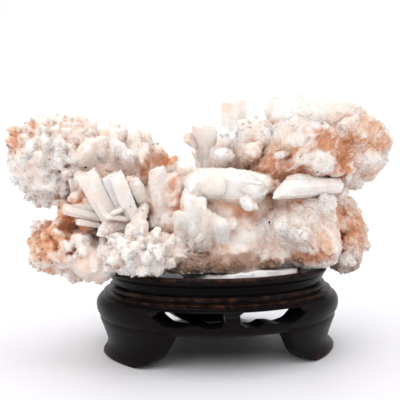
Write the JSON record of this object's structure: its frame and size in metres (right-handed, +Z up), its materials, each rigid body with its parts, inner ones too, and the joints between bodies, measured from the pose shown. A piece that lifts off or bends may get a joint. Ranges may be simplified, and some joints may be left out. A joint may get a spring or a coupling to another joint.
{
  "type": "mineral specimen on stand",
  "caption": "Aragonite cluster of blunt cream, white and rust crystal fans, resting on tissue in a round black lacquered stand with a pierced apron.",
  "frame": {"origin": "middle of the whole object's footprint, on the surface it stands on", "axes": "+Z up, -Y towards the side that is displayed, +X along the cluster's length"},
  "size_m": [0.1872, 0.1182, 0.1219],
  "materials": {
    "aragonite": "glossy translucent crystal, white to peach and rust",
    "black_lacquered_wood": "black gloss lacquer, worn brown at the edges",
    "white_tissue": "matte crumpled"
  },
  "bodies": {
    "root": {"aragonite_cluster": "aragonite", "stand": "black_lacquered_wood", "tissue": "white_tissue"}
  },
  "joints": []
}
